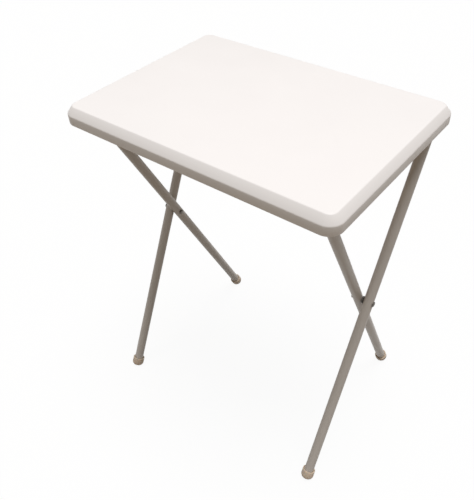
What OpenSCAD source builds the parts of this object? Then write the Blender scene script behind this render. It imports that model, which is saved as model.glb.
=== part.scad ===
// Folding tray table: a moulded tray on two crossing U-shaped tube frames.
// The inner frame is hinged to the tray, the outer frame rests in two catches,
// and a rivet on each side joins the frames like scissors.
// Units are millimetres. Z is up, X runs along the long side of the tray.
// The origin is on the floor under the middle of the tray.

/* [Table] */
// Height of the tray surface above the floor
table_h = 660; // [650:1:668]
// Length of the tray along X
top_w = 508; // [490:1:540]
// Depth of the tray along Y
top_d = 362; // [360:1:380]

/* [Tray] */
// Outer corner radius of the tray
corner_r = 23; // [18:1:30]
// Width of the sloping rim, seen from above
rim_w = 10; // [7:0.5:11]
// Height of the sloping rim
rim_h = 12.5; // [11:0.5:14]
// Height of the upright skirt under the rim
skirt_h = 16; // [13:0.5:18]
// Wall thickness of the moulded tray
wall = 3; // [2.6:0.1:3.4]
// Depth of the ribs under the tray
rib_h = 6; // [4:0.5:6.5]
// Thickness of one rib
rib_t = 2.4; // [2:0.1:3]
// Number of ribs that run along Y
ribs_across = 7; // [3:2:9]
// Number of ribs that run along X
ribs_along = 5; // [3:2:5]

/* [Leg frames] */
// Outside diameter of the frame tube
tube_d = 18; // [17:0.5:18]
// Wall thickness of the frame tube
tube_wall = 1.2; // [1:0.1:1.6]
// Slope of each leg, measured from upright
leg_angle = 26.5; // [25:0.5:27]
// Height of the scissor rivets above the floor
pivot_h = 353.3; // [350:0.1:358]
// Centreline radius of the tube bends
bend_r = 30; // [26:1:36]
// Distance from the edge of the tray to the outer tube's centreline
frame_inset = 19.5; // [17:0.5:24]
// Gap between the outer and the inner tube at a rivet
tube_gap = 3; // [2.6:0.1:4]

/* [Hinge] */
// Drop from the ribs to the hinge axis
hinge_drop = 31.8; // [31.4:0.1:34]
// Distance between the two crossbars once the frames are nested
nest = 22.5; // [22.4:0.1:22.6]
// Distance of each hinge from the middle of the tray
hinge_x = 120; // [90:1:150]
// Width of a hinge block along X
hinge_w = 24; // [20:1:28]
// Wall of the bush between crossbar and hinge block
bush_wall = 1.5; // [1.2:0.1:1.6]
// Ring of material around the bush
hinge_ring = 2.5; // [2:0.1:2.5]
// Width of the hinge block's flange along X
flange_w = 62; // [56:1:70]
// Thickness of flanges on hinge blocks and catches
flange_t = 4; // [3:0.5:5]

/* [Catch] */
// Distance of each catch from the middle of the tray
catch_x = 150; // [100:1:165]
// Width of a catch along X
catch_w = 32; // [28:1:40]
// Thickness of the upright wall of a catch
catch_t = 6; // [4:0.5:7]

/* [Feet] */
// Outside radius of a foot cap
foot_r = 12.3; // [11:0.1:13]
// Length of a foot cap
foot_len = 20; // [18:1:26]
// Rounding of the foot cap's lower edge
foot_round = 8; // [5:0.5:9]
// Thickness of the foot cap's bottom
foot_floor = 4; // [3:0.5:5]

/* [Rivets and screws] */
// Shank radius of a scissor rivet
rivet_r = 3; // [2.5:0.1:3.5]
// Radius of the rivet head
rivet_head_r = 5; // [4.5:0.5:6]
// Radius of the spacer between the tubes
spacer_r = 6.5; // [5.5:0.5:8]
// Radius of the washer under a rivet's tail
washer_r = 5.2; // [4.8:0.1:6]
// Shank radius of a screw
screw_r = 1.9; // [1.5:0.1:2.2]
// Head radius of a screw
screw_head_r = 3.8; // [3.2:0.1:4.2]
// Head height of a screw
screw_head_h = 2.2; // [1.8:0.1:2.6]

/* [Hidden] */

$fn = 64;
run_fit = 0.05;
clear = 0.3;
tube_r = tube_d / 2;

// Tray levels
rim_z = table_h - rim_h;
skirt_z = rim_z - skirt_h;
under_z = table_h - wall;
rib_z = under_z - rib_h;
rim_slope = rim_w / rim_h;
rim_shift = wall * sqrt(1 + rim_slope * rim_slope);
inner_rim_z = rim_z - (rim_shift - wall) / rim_slope;
inner_rim_h = under_z - inner_rim_z;

// Hinge axis, catch axis and frame lengths
hinge_z = rib_z - hinge_drop;
hinge_y = -(hinge_z - pivot_h) * tan(leg_angle);
inner_arm = (hinge_z - pivot_h) / cos(leg_angle);
outer_arm = inner_arm + nest;
catch_y = outer_arm * sin(leg_angle);
catch_z = pivot_h + outer_arm * cos(leg_angle);
lower_leg = pivot_h / cos(leg_angle);
outer_x = top_w / 2 - frame_inset;
inner_x = outer_x - tube_d - tube_gap;
catch_top = rib_z - catch_z;

// Foot caps stand on the floor with their rounded edge
foot_rise = (foot_round + (foot_r - foot_round) * sin(leg_angle)) / cos(leg_angle) - foot_round;
tube_stop = foot_rise + foot_floor;

// Hinge block outline, measured from the hinge axis
bush_r = tube_r + bush_wall;
ring_r = bush_r + hinge_ring;
block_back = -28;
block_front = -13;
cap_drop = 7;
flange_hole_x = 23;
cap_hole_x = 6.5;
hole_y = -20.5;
base_len = 11;
cap_len = 21;

// Catch outline, measured from the outer crossbar's axis
catch_back = tube_r + clear;
catch_end = 30;
catch_hole_x = 10;
catch_hole_y = 23;

plastic = [0.95, 0.94, 0.93];
paint = [0.60, 0.59, 0.60];
cream = [0.88, 0.83, 0.76];
steel = [0.42, 0.41, 0.42];
nylon = [0.80, 0.80, 0.80];

module plate(w, d, r, h) {
    translate([-w / 2 + r, -d / 2, 0]) cube([w - 2 * r, d, h]);
    translate([-w / 2, -d / 2 + r, 0]) cube([w, d - 2 * r, h]);
    for (sx = [-1, 1], sy = [-1, 1])
        translate([sx * (w / 2 - r), sy * (d / 2 - r), 0]) cylinder(r = r, h = h);
}

module slope_profile(w, inset, h) {
    polygon([[-w / 2, 0], [w / 2, 0], [w / 2 - inset, h], [-w / 2 + inset, h]]);
}

module sloping_rim(w, d, r, inset, h) {
    translate([-w / 2 + r, 0, 0])
        rotate([90, 0, 90])
            linear_extrude(height = w - 2 * r) slope_profile(d, inset, h);
    translate([0, d / 2 - r, 0])
        rotate([90, 0, 0])
            linear_extrude(height = d - 2 * r) slope_profile(w, inset, h);
    for (sx = [-1, 1], sy = [-1, 1])
        translate([sx * (w / 2 - r), sy * (d / 2 - r), 0])
            cylinder(r1 = r, r2 = r - inset, h = h);
}

module tray_shell() {
    inner_w = top_w - 2 * wall;
    inner_d = top_d - 2 * wall;
    inner_r = corner_r - wall;
    seam = 0.02;
    difference() {
        union() {
            translate([0, 0, skirt_z]) plate(top_w, top_d, corner_r, skirt_h);
            translate([0, 0, rim_z]) sloping_rim(top_w, top_d, corner_r, rim_w, rim_h);
        }
        translate([0, 0, skirt_z - 1])
            plate(inner_w, inner_d, inner_r, inner_rim_z - skirt_z + 1 + seam);
        translate([0, 0, inner_rim_z])
            sloping_rim(inner_w, inner_d, inner_r, inner_rim_h * rim_slope, inner_rim_h);
    }
}

module ribs() {
    reach_x = top_w / 2 - rim_w;
    reach_y = top_d / 2 - rim_w;
    step_x = top_w / (ribs_across + 1);
    step_y = top_d / (ribs_along + 1);
    for (i = [1:ribs_across])
        translate([-top_w / 2 + i * step_x - rib_t / 2, -reach_y, rib_z])
            cube([rib_t, 2 * reach_y, rib_h + 0.5]);
    for (j = [1:ribs_along])
        translate([-reach_x, -top_d / 2 + j * step_y - rib_t / 2, rib_z])
            cube([2 * reach_x, rib_t, rib_h + 0.5]);
}

module mounting_pads() {
    reach_y = top_d / 2 - rim_w;
    hinge_end = hinge_y + block_front + 2;
    catch_start = catch_y - 8;
    for (s = [-1, 1]) {
        translate([s * hinge_x - flange_w / 2 - 2, -reach_y, rib_z])
            cube([flange_w + 4, reach_y + hinge_end, rib_h + 0.5]);
        translate([s * catch_x - catch_w / 2 - 2, catch_start, rib_z])
            cube([catch_w + 4, reach_y - catch_start, rib_h + 0.5]);
    }
}

module tray_screw_holes() {
    for (s = [-1, 1], t = [-1, 1]) {
        translate([s * hinge_x + t * flange_hole_x, hinge_y + hole_y, rib_z - 1])
            cylinder(r = screw_r, h = base_len - flange_t + 1);
        translate([s * catch_x + t * catch_hole_x, catch_y + catch_hole_y, rib_z - 1])
            cylinder(r = screw_r, h = base_len - flange_t + 1);
    }
}

module tabletop() {
    color(plastic) difference() {
        union() {
            tray_shell();
            ribs();
            mounting_pads();
        }
        tray_screw_holes();
    }
}

module along_x(w) {
    translate([-w / 2, 0, 0]) rotate([90, 0, 90]) linear_extrude(height = w) children();
}

module hinge_block() {
    top = rib_z - hinge_z;
    difference() {
        union() {
            along_x(hinge_w) difference() {
                union() {
                    translate([block_back, 0]) square([block_front - block_back, top]);
                    translate([block_front - 1, 0]) square([1 - block_front, ring_r]);
                    intersection() {
                        circle(r = ring_r);
                        translate([-ring_r, 0]) square([2 * ring_r, ring_r]);
                    }
                }
                circle(r = bush_r);
            }
            along_x(flange_w)
                translate([block_back, top - flange_t])
                    square([block_front - block_back, flange_t]);
        }
        for (t = [-1, 1]) {
            translate([t * flange_hole_x, hole_y, top - flange_t - 1])
                cylinder(r = screw_r, h = flange_t + 2);
            translate([t * cap_hole_x, hole_y, -1])
                cylinder(r = screw_r, h = cap_len - cap_drop + 1);
        }
    }
}

module hinge_cap() {
    difference() {
        along_x(hinge_w) difference() {
            union() {
                translate([block_back, -cap_drop]) square([block_front - block_back, cap_drop]);
                translate([block_front - 1, -ring_r]) square([1 - block_front, ring_r]);
                intersection() {
                    circle(r = ring_r);
                    translate([-ring_r, -ring_r]) square([2 * ring_r, ring_r]);
                }
            }
            circle(r = bush_r);
        }
        for (t = [-1, 1])
            translate([t * cap_hole_x, hole_y, -cap_drop - 1])
                cylinder(r = screw_r, h = cap_drop + 2);
    }
}

module hinge_bush() {
    collar_t = 1.2;
    collar_r = ring_r - 0.4;
    half = hinge_w / 2 + clear;
    rotate([0, 90, 0]) difference() {
        union() {
            translate([0, 0, -half]) cylinder(r = bush_r, h = 2 * half);
            translate([0, 0, -half - collar_t]) cylinder(r = collar_r, h = collar_t);
            translate([0, 0, half]) cylinder(r = collar_r, h = collar_t);
        }
        translate([0, 0, -half - collar_t - 1])
            cylinder(r = tube_r + run_fit, h = 2 * (half + collar_t + 1));
    }
}

module screw(len) {
    slot = 0.9;
    difference() {
        union() {
            translate([0, 0, -screw_head_h]) cylinder(r = screw_head_r, h = screw_head_h);
            cylinder(r = screw_r, h = len);
        }
        for (a = [0, 90])
            rotate([0, 0, a])
                translate([-screw_head_r * 0.6, -slot / 2, -screw_head_h - 0.1])
                    cube([screw_head_r * 1.2, slot, 1.3]);
    }
}

module hinge_screws() {
    color(steel) for (s = [-1, 1], t = [-1, 1]) {
        translate([s * hinge_x + t * flange_hole_x, hinge_y + hole_y, rib_z - flange_t])
            screw(base_len);
        translate([s * hinge_x + t * cap_hole_x, hinge_y + hole_y, hinge_z - cap_drop])
            screw(cap_len);
    }
}

module crossbar_catch() {
    difference() {
        union() {
            along_x(catch_w) difference() {
                union() {
                    translate([catch_back, -8]) square([catch_t, catch_top + 8]);
                    translate([-4, 0]) square([catch_back + 4, catch_top]);
                    translate([catch_back + catch_t - 1, catch_top - flange_t])
                        square([catch_end - catch_back - catch_t + 1, flange_t]);
                }
                circle(r = catch_back);
                translate([-10, -catch_back - 1]) square([10, 2 * catch_back + 1]);
            }
            along_x(5)
                polygon([[catch_back + catch_t - 1, -8], [catch_back + catch_t, -8],
                    [catch_end - 2, catch_top - flange_t + 0.5],
                    [catch_back + catch_t - 1, catch_top - flange_t + 0.5]]);
        }
        for (t = [-1, 1])
            translate([t * catch_hole_x, catch_hole_y, catch_top - flange_t - 1])
                cylinder(r = screw_r, h = flange_t + 2);
    }
}

module catch_screws() {
    color(steel) for (s = [-1, 1], t = [-1, 1])
        translate([s * catch_x + t * catch_hole_x, catch_y + catch_hole_y, rib_z - flange_t])
            screw(base_len);
}

module u_sweep(half, leg, r) {
    straight = half - bend_r;
    rotate([0, 90, 0]) translate([0, 0, -straight]) cylinder(r = r, h = 2 * straight);
    for (s = [0, 1]) mirror([s, 0, 0]) {
        translate([straight, -bend_r, 0])
            rotate_extrude(angle = 90) translate([bend_r, 0]) circle(r = r);
        translate([half, -bend_r, 0]) rotate([90, 0, 0]) cylinder(r = r, h = leg - bend_r);
    }
}

module u_tube(half, leg, arm, hole_r) {
    difference() {
        u_sweep(half, leg, tube_r);
        u_sweep(half, leg + 1, tube_r - tube_wall);
        for (s = [-1, 1])
            translate([s * half, -arm, 0])
                rotate([0, 90, 0])
                    cylinder(r = hole_r, h = tube_d + 2, center = true);
    }
}

module at_inner_frame() {
    translate([0, hinge_y, hinge_z]) rotate([90 + leg_angle, 0, 0]) children();
}

module at_outer_frame() {
    translate([0, catch_y, catch_z]) rotate([90 - leg_angle, 0, 0]) children();
}

module inner_frame_tube() {
    color(paint) at_inner_frame()
        u_tube(inner_x, inner_arm + lower_leg - tube_stop, inner_arm, rivet_r);
}

module outer_frame_tube() {
    color(paint) at_outer_frame()
        u_tube(outer_x, outer_arm + lower_leg - tube_stop, outer_arm, rivet_r + run_fit);
}

module foot_cap() {
    color(cream) rotate([-90, 0, 0]) rotate_extrude() difference() {
        intersection() {
            square([foot_r, foot_len]);
            union() {
                translate([0, foot_round]) square([foot_r, foot_len - foot_round]);
                square([foot_r - foot_round, foot_len]);
                translate([foot_r - foot_round, foot_round]) circle(r = foot_round);
            }
        }
        translate([0, foot_floor]) square([tube_r, foot_len]);
    }
}

module foot_inner(side) {
    at_inner_frame()
        translate([side * inner_x, -inner_arm - lower_leg + foot_rise, 0]) foot_cap();
}

module foot_outer(side) {
    at_outer_frame()
        translate([side * outer_x, -outer_arm - lower_leg + foot_rise, 0]) foot_cap();
}

module pivot_rivet() {
    washer_t = 1;
    tail_h = 1.5;
    head_h = 2;
    tail_x = inner_x - tube_r - washer_t;
    head_x = outer_x + tube_r + clear;
    color(steel) translate([0, 0, pivot_h]) rotate([0, 90, 0]) {
        translate([0, 0, tail_x - tail_h]) cylinder(r1 = 3.6, r2 = 4.4, h = tail_h);
        translate([0, 0, tail_x - 1]) cylinder(r = rivet_r, h = head_x - tail_x + 2);
        translate([0, 0, head_x]) cylinder(r = rivet_head_r, h = 1);
        translate([0, 0, head_x + 1])
            cylinder(r1 = rivet_head_r, r2 = rivet_head_r - 2, h = head_h - 1);
    }
}

module pivot_ring(r, h) {
    difference() {
        cylinder(r = r, h = h);
        translate([0, 0, -1]) cylinder(r = rivet_r, h = h + 2);
    }
}

module pivot_spacer() {
    color(nylon) translate([inner_x + tube_r, 0, pivot_h]) rotate([0, 90, 0])
        pivot_ring(spacer_r, tube_gap - clear);
}

module pivot_washer() {
    color(steel) translate([inner_x - tube_r - 1, 0, pivot_h]) rotate([0, 90, 0])
        pivot_ring(washer_r, 1);
}

module at_hinge(side) {
    translate([side * hinge_x, hinge_y, hinge_z]) children();
}

module at_catch(side) {
    translate([side * catch_x, catch_y, catch_z]) children();
}

tabletop();
color(nylon) at_hinge(-1) hinge_block();  // hinge_block_left
color(nylon) at_hinge(1) hinge_block();  // hinge_block_right
color(nylon) at_hinge(-1) hinge_cap();  // hinge_cap_left
color(nylon) at_hinge(1) hinge_cap();  // hinge_cap_right
color(cream) at_hinge(-1) hinge_bush();  // hinge_bush_left
color(cream) at_hinge(1) hinge_bush();  // hinge_bush_right
hinge_screws();
color(nylon) at_catch(-1) crossbar_catch();  // crossbar_catch_left
color(nylon) at_catch(1) crossbar_catch();  // crossbar_catch_right
catch_screws();
inner_frame_tube();
outer_frame_tube();
mirror([1, 0, 0]) pivot_rivet();  // pivot_rivet_left
pivot_rivet();  // pivot_rivet_right
mirror([1, 0, 0]) pivot_spacer();  // pivot_spacer_left
pivot_spacer();  // pivot_spacer_right
mirror([1, 0, 0]) pivot_washer();  // pivot_washer_left
pivot_washer();  // pivot_washer_right
foot_inner(-1);  // foot_inner_left
foot_inner(1);  // foot_inner_right
foot_outer(-1);  // foot_outer_left
foot_outer(1);  // foot_outer_right
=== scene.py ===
from math import cos, radians, sin, tan

import bmesh
import bpy
from mathutils import Matrix, Quaternion, Vector


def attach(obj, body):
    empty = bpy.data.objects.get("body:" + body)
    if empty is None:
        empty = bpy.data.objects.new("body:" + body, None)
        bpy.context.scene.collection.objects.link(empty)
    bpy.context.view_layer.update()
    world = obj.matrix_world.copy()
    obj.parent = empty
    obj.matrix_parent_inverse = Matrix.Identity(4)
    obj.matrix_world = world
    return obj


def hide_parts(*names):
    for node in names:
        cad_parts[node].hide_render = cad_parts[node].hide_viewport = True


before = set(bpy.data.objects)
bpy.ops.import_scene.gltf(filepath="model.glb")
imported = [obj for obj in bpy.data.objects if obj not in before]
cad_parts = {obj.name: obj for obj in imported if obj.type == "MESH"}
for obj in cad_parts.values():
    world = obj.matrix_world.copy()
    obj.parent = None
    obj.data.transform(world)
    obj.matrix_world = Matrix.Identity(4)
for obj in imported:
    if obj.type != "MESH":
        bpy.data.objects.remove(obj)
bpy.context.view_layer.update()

# Tray: one injection-moulded piece of white plastic.
# A flat top falls away in a sloping rim to a short upright skirt, and a grid of ribs
# with thicker pads for the hinges and catches stiffens the hollow underside.
tray_length, tray_depth = 0.508, 0.362
tray_height = 0.660
corner_radius = 0.023
skirt_height = 0.016
rim_width, rim_height = 0.010, 0.0125
wall = 0.003
inner_wall_height = 0.01495
inner_rim_width, inner_rim_height = 0.00844, 0.01055
rib_bottom = 0.651
rib_height, rib_thickness = 0.0062, 0.0024
rib_edge = 0.0005
rib_reach_x, rib_reach_y = 0.2435, 0.1705
hinge_x, hinge_pad_half, hinge_pad_inner = 0.120, 0.033, 0.1436
catch_x, catch_pad_half, catch_pad_inner = 0.150, 0.018, 0.1346


def make_piece(shape, name, sharp_angle=35):
    # Faces are put in a fixed order, since the mesh operators leave them in a varying one.
    shape.verts.index_update()
    in_order = sorted(shape.faces, key=lambda face: sorted(vert.index for vert in face.verts))
    for rank, face in enumerate(in_order):
        face.index = rank
    shape.faces.sort()
    mesh = bpy.data.meshes.new(name)
    shape.to_mesh(mesh)
    shape.free()
    mesh.shade_smooth()
    mesh.set_sharp_from_angle(angle=radians(sharp_angle))
    piece = bpy.data.objects.new(name, mesh)
    bpy.context.scene.collection.objects.link(piece)
    return piece


def add_block(shape, low, high, edge=0.0):
    low, high = Vector(low), Vector(high)
    middle, size = (low + high) / 2, high - low
    placing = Matrix.Translation(middle) @ Matrix.Diagonal((*size, 1))
    verts = bmesh.ops.create_cube(shape, size=1.0, matrix=placing)["verts"]
    if edge:
        edges = list(dict.fromkeys(e for v in verts for e in v.link_edges))
        bmesh.ops.bevel(shape, geom=edges, offset=edge, segments=2, affect="EDGES",
                        profile=0.5, material=-1)


def level_edges(shape, height, reach):
    found = []
    for e in shape.edges:
        a, b = e.verts
        level = abs(a.co.z - height) < 1e-5 and abs(b.co.z - height) < 1e-5
        outside = len(e.link_faces) == 2 and max(abs(a.co.x), abs(b.co.x)) > reach
        side = max(abs(a.co.y), abs(b.co.y)) > reach - (tray_length - tray_depth) / 2
        if level and (outside or side):
            found.append(e)
    return found


def moulded_plastic(name, colour, roughness, grain=900.0, depth=0.00002, mottle=0.025, glow=0.0):
    material = bpy.data.materials.new(name)
    material.use_nodes = True
    nodes, links = material.node_tree.nodes, material.node_tree.links
    shader = nodes["Principled BSDF"]
    shader.inputs["Specular IOR Level"].default_value = 0.4
    shader.inputs["Subsurface Weight"].default_value = glow
    shader.inputs["Subsurface Radius"].default_value = (0.004, 0.003, 0.002)
    place = nodes.new("ShaderNodeTexCoord")
    cloud = nodes.new("ShaderNodeTexNoise")
    cloud.inputs["Scale"].default_value = 14.0
    cloud.inputs["Detail"].default_value = 3.0
    tint = nodes.new("ShaderNodeMix")
    tint.data_type = "RGBA"
    tint.inputs["A"].default_value = (*[c * (1 - mottle) for c in colour], 1)
    tint.inputs["B"].default_value = (*[min(1.0, c * (1 + mottle)) for c in colour], 1)
    gloss = nodes.new("ShaderNodeMapRange")
    gloss.inputs["To Min"].default_value = roughness - 0.06
    gloss.inputs["To Max"].default_value = roughness + 0.08
    pebble = nodes.new("ShaderNodeTexNoise")
    pebble.inputs["Scale"].default_value = grain
    pebble.inputs["Detail"].default_value = 2.0
    bump = nodes.new("ShaderNodeBump")
    bump.inputs["Strength"].default_value = 0.35
    bump.inputs["Distance"].default_value = depth
    links.new(place.outputs["Object"], cloud.inputs["Vector"])
    links.new(place.outputs["Object"], pebble.inputs["Vector"])
    links.new(cloud.outputs["Fac"], tint.inputs["Factor"])
    links.new(cloud.outputs["Fac"], gloss.inputs["Value"])
    links.new(tint.outputs["Result"], shader.inputs["Base Color"])
    links.new(gloss.outputs["Result"], shader.inputs["Roughness"])
    links.new(pebble.outputs["Fac"], bump.inputs["Height"])
    links.new(bump.outputs["Normal"], shader.inputs["Normal"])
    return material


tray = bmesh.new()
skirt_bottom = tray_height - rim_height - skirt_height
skirt_middle = Matrix.Translation((0, 0, skirt_bottom + skirt_height / 2))
skirt_size = Matrix.Diagonal((tray_length, tray_depth, skirt_height, 1))
bmesh.ops.create_cube(tray, size=1.0, matrix=skirt_middle @ skirt_size)
uprights = [e for e in tray.edges if abs(e.verts[0].co.z - e.verts[1].co.z) > 0.01]
bmesh.ops.bevel(tray, geom=uprights, offset=corner_radius, segments=14, affect="EDGES",
                profile=0.5, material=-1)

top_face = max(tray.faces, key=lambda f: f.calc_center_median().z)
bmesh.ops.inset_region(tray, faces=[top_face], thickness=rim_width, use_even_offset=True)
bmesh.ops.translate(tray, verts=top_face.verts[:], vec=(0, 0, rim_height))

under_face = min(tray.faces, key=lambda f: f.calc_center_median().z)
bmesh.ops.inset_region(tray, faces=[under_face], thickness=wall, use_even_offset=True)
draft = 0.0001
bmesh.ops.inset_region(tray, faces=[under_face], thickness=draft, use_even_offset=True)
bmesh.ops.translate(tray, verts=under_face.verts[:], vec=(0, 0, inner_wall_height))
bmesh.ops.inset_region(tray, faces=[under_face], thickness=inner_rim_width,
                       use_even_offset=True)
bmesh.ops.translate(tray, verts=under_face.verts[:], vec=(0, 0, inner_rim_height))

top_reach = tray_length / 2 - rim_width - 0.014
for height, softness, steps in ((tray_height, 0.0013, 3), (tray_height - rim_height, 0.0012, 3),
                                (skirt_bottom, 0.0008, 2)):
    bmesh.ops.bevel(tray, geom=level_edges(tray, height, top_reach), offset=softness,
                    segments=steps, affect="EDGES", profile=0.5, material=-1)

for column in range(1, 8):
    x = -tray_length / 2 + column * tray_length / 8
    add_block(tray, (x - rib_thickness / 2, -rib_reach_y, rib_bottom),
              (x + rib_thickness / 2, rib_reach_y, rib_bottom + rib_height), rib_edge)
for row in range(1, 6):
    y = -tray_depth / 2 + row * tray_depth / 6
    add_block(tray, (-rib_reach_x, y - rib_thickness / 2, rib_bottom),
              (rib_reach_x, y + rib_thickness / 2, rib_bottom + rib_height), rib_edge)
for side in (-1, 1):
    add_block(tray, (side * hinge_x - hinge_pad_half, -rib_reach_y, rib_bottom),
              (side * hinge_x + hinge_pad_half, -hinge_pad_inner, rib_bottom + rib_height), rib_edge)
    add_block(tray, (side * catch_x - catch_pad_half, catch_pad_inner, rib_bottom),
              (side * catch_x + catch_pad_half, rib_reach_y, rib_bottom + rib_height), rib_edge)

tray = make_piece(tray, "moulded_tray")
white = moulded_plastic("white_moulded_plastic", (0.95, 0.925, 0.915), 0.42, mottle=0.008)
tray.data.materials.append(white)
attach(tray, "tray")
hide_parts("tabletop")

# Leg frames: two U-shaped frames bent from round steel tube and powder coated light grey.
# The inner one is hinged to the tray, the outer one crosses it on a rivet at each side.


def powder_coat(name, colour):
    material = bpy.data.materials.new(name)
    material.use_nodes = True
    nodes, links = material.node_tree.nodes, material.node_tree.links
    shader = nodes["Principled BSDF"]
    shader.inputs["Specular IOR Level"].default_value = 0.45
    shader.inputs["Coat Weight"].default_value = 0.15
    shader.inputs["Coat Roughness"].default_value = 0.25
    place = nodes.new("ShaderNodeTexCoord")
    wear = nodes.new("ShaderNodeTexNoise")
    wear.inputs["Scale"].default_value = 22.0
    wear.inputs["Detail"].default_value = 4.0
    tint = nodes.new("ShaderNodeMix")
    tint.data_type = "RGBA"
    tint.inputs["A"].default_value = (*[c * 0.94 for c in colour], 1)
    tint.inputs["B"].default_value = (*[c * 1.06 for c in colour], 1)
    gloss = nodes.new("ShaderNodeMapRange")
    gloss.inputs["To Min"].default_value = 0.34
    gloss.inputs["To Max"].default_value = 0.52
    peel = nodes.new("ShaderNodeTexNoise")
    peel.inputs["Scale"].default_value = 1400.0
    bump = nodes.new("ShaderNodeBump")
    bump.inputs["Strength"].default_value = 0.3
    bump.inputs["Distance"].default_value = 0.00003
    links.new(place.outputs["Object"], wear.inputs["Vector"])
    links.new(place.outputs["Object"], peel.inputs["Vector"])
    links.new(wear.outputs["Fac"], tint.inputs["Factor"])
    links.new(wear.outputs["Fac"], gloss.inputs["Value"])
    links.new(tint.outputs["Result"], shader.inputs["Base Color"])
    links.new(gloss.outputs["Result"], shader.inputs["Roughness"])
    links.new(peel.outputs["Fac"], bump.inputs["Height"])
    links.new(bump.outputs["Normal"], shader.inputs["Normal"])
    return material


def finish_node(name, material):
    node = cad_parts[name]
    node.data.materials.clear()
    node.data.materials.append(material)


grey_paint = powder_coat("light_grey_powder_coat", (0.61, 0.57, 0.53))
finish_node("inner_frame_tube", grey_paint)
finish_node("outer_frame_tube", grey_paint)

# Foot caps: soft cream vinyl cups pushed over the four tube ends.
# Each has a rolled rim and a rounded bottom that stands on the floor.
leg_angle = radians(26.5)
pivot_height = 0.3533
cap_radius, cap_length, cap_rounding, cap_floor = 0.0123, 0.020, 0.008, 0.004
tube_radius, cap_gap = 0.009, 0.00005
foot_reach = pivot_height * tan(leg_angle)
inner_x, outer_x = 0.2135, 0.2345
cap_rise = ((cap_rounding + (cap_radius - cap_rounding) * sin(leg_angle)) / cos(leg_angle)
            - cap_rounding)
cream = moulded_plastic("cream_vinyl", (0.72, 0.60, 0.48), 0.45, grain=600.0, mottle=0.06,
                        glow=0.25)


def turned_shape(outline, steps):
    shape = bmesh.new()
    verts = [shape.verts.new((r, 0, z)) for r, z in outline]
    edges = [shape.edges.new(pair) for pair in zip(verts, verts[1:])]
    bmesh.ops.spin(shape, geom=verts + edges, cent=(0, 0, 0), axis=(0, 0, 1), angle=radians(360),
                   steps=steps, use_merge=True)
    bmesh.ops.remove_doubles(shape, verts=shape.verts[:], dist=1e-6)
    bmesh.ops.recalc_face_normals(shape, faces=shape.faces[:])
    return shape


cap_outline = [(0, 0)]
for turn in range(0, 91, 10):
    cap_outline.append((cap_radius - cap_rounding + cap_rounding * sin(radians(turn)),
                        cap_rounding - cap_rounding * cos(radians(turn))))
rim_roll = 0.0011
for turn in range(0, 181, 30):
    cap_outline.append((cap_radius - rim_roll + rim_roll * cos(radians(turn)),
                        cap_length - rim_roll + rim_roll * sin(radians(turn))))
cap_outline += [(tube_radius + cap_gap, cap_length - rim_roll - 0.0006),
                (tube_radius + cap_gap, cap_floor), (0, cap_floor)]

for frame_name, side_name, body, x, y, lean in (
        ("inner", "left", "inner_frame", -inner_x, foot_reach, leg_angle),
        ("inner", "right", "inner_frame", inner_x, foot_reach, leg_angle),
        ("outer", "left", "outer_frame", -outer_x, -foot_reach, -leg_angle),
        ("outer", "right", "outer_frame", outer_x, -foot_reach, -leg_angle)):
    cap = turned_shape(cap_outline, 40)
    up_leg = Matrix.Rotation(lean, 4, "X")
    bmesh.ops.transform(cap, matrix=Matrix.Translation((x, y, 0)) @ up_leg
                        @ Matrix.Translation((0, 0, cap_rise)), verts=cap.verts[:])
    cap = make_piece(cap, f"foot_cap_{frame_name}_{side_name}", 50)
    cap.data.materials.append(cream)
    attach(cap, body)
    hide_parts(f"foot_{frame_name}_{side_name}")

# Scissor rivets: dull zinc-plated steel, its base colour kept darker than zinc as painted shade, one
# through both tubes on each side.
# A domed head is outside, a spread tail on a washer inside, and a nylon spacer between the tubes
# whose near-black colour is painted shade for the gap.


def dull_steel(name, colour):
    material = bpy.data.materials.new(name)
    material.use_nodes = True
    nodes, links = material.node_tree.nodes, material.node_tree.links
    shader = nodes["Principled BSDF"]
    shader.inputs["Metallic"].default_value = 0.85
    place = nodes.new("ShaderNodeTexCoord")
    patch = nodes.new("ShaderNodeTexNoise")
    patch.inputs["Scale"].default_value = 260.0
    patch.inputs["Detail"].default_value = 4.0
    tint = nodes.new("ShaderNodeMix")
    tint.data_type = "RGBA"
    tint.inputs["A"].default_value = (*[c * 0.75 for c in colour], 1)
    tint.inputs["B"].default_value = (*[c * 1.15 for c in colour], 1)
    gloss = nodes.new("ShaderNodeMapRange")
    gloss.inputs["To Min"].default_value = 0.3
    gloss.inputs["To Max"].default_value = 0.6
    links.new(place.outputs["Object"], patch.inputs["Vector"])
    links.new(patch.outputs["Fac"], tint.inputs["Factor"])
    links.new(patch.outputs["Fac"], gloss.inputs["Value"])
    links.new(tint.outputs["Result"], shader.inputs["Base Color"])
    links.new(gloss.outputs["Result"], shader.inputs["Roughness"])
    return material


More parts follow.
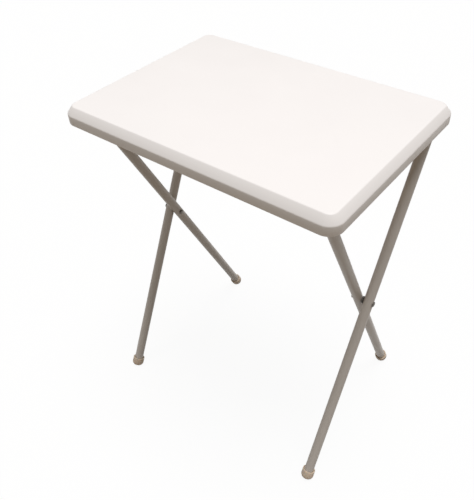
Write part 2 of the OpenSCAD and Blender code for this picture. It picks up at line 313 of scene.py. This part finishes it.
# The zinc base colour is set very dark: partly the dull metal, partly painted shade for the rivet
# heads sitting in shadow.
zinc_with_painted_shade = dull_steel("dull_zinc_painted_shade", (0.17, 0.15, 0.13))
tail_x, head_x = 0.2035, 0.2438
rivet_outline = [(0, tail_x - 0.0015), (0.0030, tail_x - 0.0015), (0.0038, tail_x - 0.0012),
                 (0.0044, tail_x - 0.0005), (0.0044, tail_x), (0.0030, tail_x), (0.0030, head_x),
                 (0.0047, head_x), (0.0050, head_x + 0.0003), (0.0049, head_x + 0.0008),
                 (0.0043, head_x + 0.0012), (0.0032, head_x + 0.0016),
                 (0.0018, head_x + 0.0019), (0, head_x + 0.0020)]
for side_name, sign in (("left", -1), ("right", 1)):
    rivet = turned_shape(rivet_outline, 32)
    across = Matrix.Rotation(radians(90 * sign), 4, "Y")
    bmesh.ops.transform(rivet, matrix=Matrix.Translation((0, 0, pivot_height)) @ across,
                        verts=rivet.verts[:])
    rivet = make_piece(rivet, f"scissor_rivet_{side_name}", 40)
    rivet.data.materials.append(zinc_with_painted_shade)
    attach(rivet, "inner_frame")
    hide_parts(f"pivot_rivet_{side_name}")

# The spacer colour is near black: partly the nylon, partly painted shade in the gap between the
# crossing tubes.
painted_shade_nylon = moulded_plastic("painted_shade_nylon", (0.13, 0.12, 0.11), 0.5, mottle=0.05)
for side_name in ("left", "right"):
    finish_node(f"pivot_washer_{side_name}", zinc_with_painted_shade)
    finish_node(f"pivot_spacer_{side_name}", painted_shade_nylon)

# Hinges: light grey nylon blocks screwed under the tray, with a cap under the crossbar.
# A paler bush in each one carries the inner frame's crossbar.
grey_nylon = moulded_plastic("light_grey_nylon", (0.56, 0.55, 0.53), 0.48, mottle=0.04)
pale_nylon = moulded_plastic("pale_nylon", (0.70, 0.66, 0.58), 0.4, mottle=0.05)
for side_name in ("left", "right"):
    finish_node(f"hinge_block_{side_name}", grey_nylon)
    finish_node(f"hinge_cap_{side_name}", grey_nylon)
    finish_node(f"hinge_bush_{side_name}", pale_nylon)

# Catches: two grey nylon hooks near the far edge, in which the outer crossbar rests.
for side_name in ("left", "right"):
    finish_node(f"crossbar_catch_{side_name}", grey_nylon)

# Screws: cross-headed, zinc plated, for the hinges and the catches.
# The screws share the rivets' zinc colour, which is darkened as painted shade.
finish_node("hinge_screws", zinc_with_painted_shade)
finish_node("catch_screws", zinc_with_painted_shade)

# Floor: a plain pale sheet that keeps the table's shadow.
# Seen directly it is nearly white; what it throws back at the table is dim and warm.
floor = bmesh.new()
bmesh.ops.create_grid(floor, x_segments=1, y_segments=1, size=12.0)
floor = make_piece(floor, "studio_floor")
floor_look = bpy.data.materials.new("studio_floor")
floor_look.use_nodes = True
nodes, links = floor_look.node_tree.nodes, floor_look.node_tree.links
nodes.clear()
surface = nodes.new("ShaderNodeOutputMaterial")
path = nodes.new("ShaderNodeLightPath")
seen = nodes.new("ShaderNodeMath")
seen.operation = "MAXIMUM"
seen_too = nodes.new("ShaderNodeMath")
seen_too.operation = "MAXIMUM"
links.new(path.outputs["Is Camera Ray"], seen.inputs[0])
links.new(path.outputs["Is Glossy Ray"], seen.inputs[1])
links.new(seen.outputs["Value"], seen_too.inputs[0])
links.new(path.outputs["Is Transmission Ray"], seen_too.inputs[1])
bounce = nodes.new("ShaderNodeBsdfDiffuse")
bounce.inputs["Color"].default_value = (0.20, 0.15, 0.10, 1)
paper = nodes.new("ShaderNodeBsdfDiffuse")
paper.inputs["Color"].default_value = (0.9, 0.9, 0.9, 1)
white_glow = nodes.new("ShaderNodeEmission")
white_glow.inputs["Color"].default_value = (1, 1, 1, 1)
white_glow.inputs["Strength"].default_value = 1.0
shadow_share = nodes.new("ShaderNodeMixShader")
shadow_share.inputs["Fac"].default_value = 0.06
links.new(white_glow.outputs["Emission"], shadow_share.inputs[1])
links.new(paper.outputs["BSDF"], shadow_share.inputs[2])
by_ray = nodes.new("ShaderNodeMixShader")
links.new(seen_too.outputs["Value"], by_ray.inputs["Fac"])
links.new(bounce.outputs["BSDF"], by_ray.inputs[1])
links.new(shadow_share.outputs["Shader"], by_ray.inputs[2])
from_below = nodes.new("ShaderNodeNewGeometry")
clear_below = nodes.new("ShaderNodeBsdfTransparent")
one_sided = nodes.new("ShaderNodeMixShader")
links.new(from_below.outputs["Backfacing"], one_sided.inputs["Fac"])
links.new(by_ray.outputs["Shader"], one_sided.inputs[1])
links.new(clear_below.outputs["BSDF"], one_sided.inputs[2])
links.new(one_sided.outputs["Shader"], surface.inputs["Surface"])
floor.data.materials.append(floor_look)

# Light: a soft overhead lamp that leans a little right and back, and a dim warm sky around it.
sky = bpy.data.worlds.new("studio_sky")
bpy.context.scene.world = sky
sky.use_nodes = True
nodes, links = sky.node_tree.nodes, sky.node_tree.links
nodes.clear()
output = nodes.new("ShaderNodeOutputWorld")
path = nodes.new("ShaderNodeLightPath")
backdrop = nodes.new("ShaderNodeBackground")
backdrop.inputs["Color"].default_value = (1, 1, 1, 1)
ambient = nodes.new("ShaderNodeBackground")
ambient.inputs["Color"].default_value = (1.0, 0.955, 0.88, 1)
ambient.inputs["Strength"].default_value = 0.30
choice = nodes.new("ShaderNodeMixShader")
links.new(path.outputs["Is Camera Ray"], choice.inputs["Fac"])
links.new(ambient.outputs["Background"], choice.inputs[1])
links.new(backdrop.outputs["Background"], choice.inputs[2])
links.new(choice.outputs["Shader"], output.inputs["Surface"])

lamp = bpy.data.lights.new("overhead_lamp", "SUN")
lamp.energy = 2.4
lamp.angle = radians(32)
lamp.color = (1.0, 0.99, 1.0)
overhead = bpy.data.objects.new("overhead_lamp", lamp)
overhead.rotation_euler = Vector((0.08, 0.07, 1.0)).to_track_quat("Z", "Y").to_euler()
bpy.context.scene.collection.objects.link(overhead)

# Camera: above the front right corner, looking down at the table.
eye_azimuth, eye_elevation, eye_roll = radians(37.914), radians(42.658), radians(-1.699)
looking_back = Vector((sin(eye_azimuth) * cos(eye_elevation),
                       -cos(eye_azimuth) * cos(eye_elevation), sin(eye_elevation)))
eye = bpy.data.cameras.new("main_camera")
eye.lens = 42.316
eye.sensor_width = 36.0
eye.shift_x, eye.shift_y = -0.0420, 0.0138
eye.clip_start = 0.05
main_camera = bpy.data.objects.new("main_camera", eye)
main_camera.location = (0.51140, -0.66429, 1.10773)
main_camera.rotation_mode = "QUATERNION"
main_camera.rotation_quaternion = (looking_back.to_track_quat("Z", "Y")
                                   @ Quaternion((0, 0, 1), eye_roll))
bpy.context.scene.collection.objects.link(main_camera)
bpy.context.scene.camera = main_camera
bpy.context.scene.view_settings.view_transform = "Standard"
